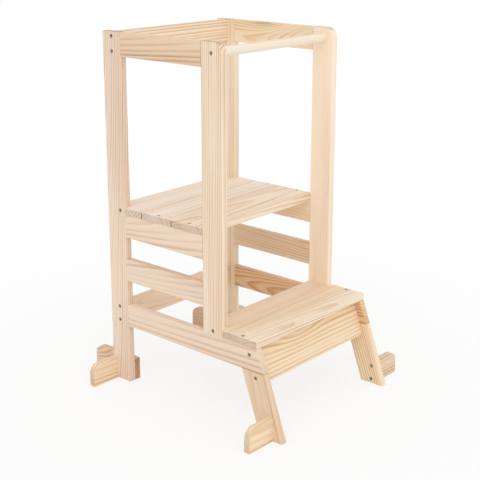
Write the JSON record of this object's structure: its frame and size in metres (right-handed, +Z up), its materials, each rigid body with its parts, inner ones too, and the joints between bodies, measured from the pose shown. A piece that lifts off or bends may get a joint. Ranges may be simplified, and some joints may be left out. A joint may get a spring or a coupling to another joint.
{
  "type": "toddler kitchen helper stool",
  "caption": "Wooden toddler kitchen helper stool: a railed tower with a standing platform, a front step on splayed legs, and feet that reach outwards against tipping.",
  "frame": {"origin": "on the floor, at the middle of the footprint", "axes": "+X to the object's right, -Y to its front, where the step is, +Z up"},
  "size_m": [0.59, 0.6566, 0.9],
  "materials": {
    "pine": "planed and sanded, unfinished",
    "pine_panel": "edge-glued staves, sanded, unfinished",
    "handrail_wood": "turned and sanded, unfinished",
    "dowel_wood": "raw",
    "zinc_steel": "zinc plated, satin"
  },
  "bodies": {
    "root": {"apron_leg_screws": "zinc_steel", "apron_rail_screws": "zinc_steel", "back_lower_rail": "pine", "back_lower_rail_screws": "zinc_steel", "back_top_rail": "pine", "back_top_rail_screws": "zinc_steel", "base_rail_pins": "dowel_wood", "front_handrail": "handrail_wood", "front_left_leg": "pine", "front_left_outrigger": "pine", "front_left_post": "pine", "front_leg_pins": "dowel_wood", "front_outrigger_screws": "zinc_steel", "front_post_pins": "dowel_wood", "front_right_leg": "pine", "front_right_outrigger": "pine", "front_right_post": "pine", "handrail_screws": "zinc_steel", "inner_foot_screws": "zinc_steel", "left_base_rail": "pine", "left_middle_rail": "pine", "left_platform_rail": "pine", "left_top_rail": "pine", "middle_rail_pins": "dowel_wood", "platform_front_stave": "pine_panel", "platform_middle_stave": "pine_panel", "platform_post_screws": "zinc_steel", "platform_rail_pins": "dowel_wood", "platform_rail_screws": "zinc_steel", "platform_rear_stave": "pine_panel", "rear_left_inner_foot": "pine", "rear_left_outrigger": "pine", "rear_left_post": "pine", "rear_outrigger_screws": "zinc_steel", "rear_right_inner_foot": "pine", "rear_right_outrigger": "pine", "rear_right_post": "pine", "right_base_rail": "pine", "right_middle_rail": "pine", "right_platform_rail": "pine", "right_top_rail": "pine", "step_apron": "pine", "step_front_stave": "pine_panel", "step_post_screws": "zinc_steel", "step_rail_screws": "zinc_steel", "step_rear_stave": "pine_panel", "top_rail_pins": "dowel_wood"}
  },
  "joints": []
}
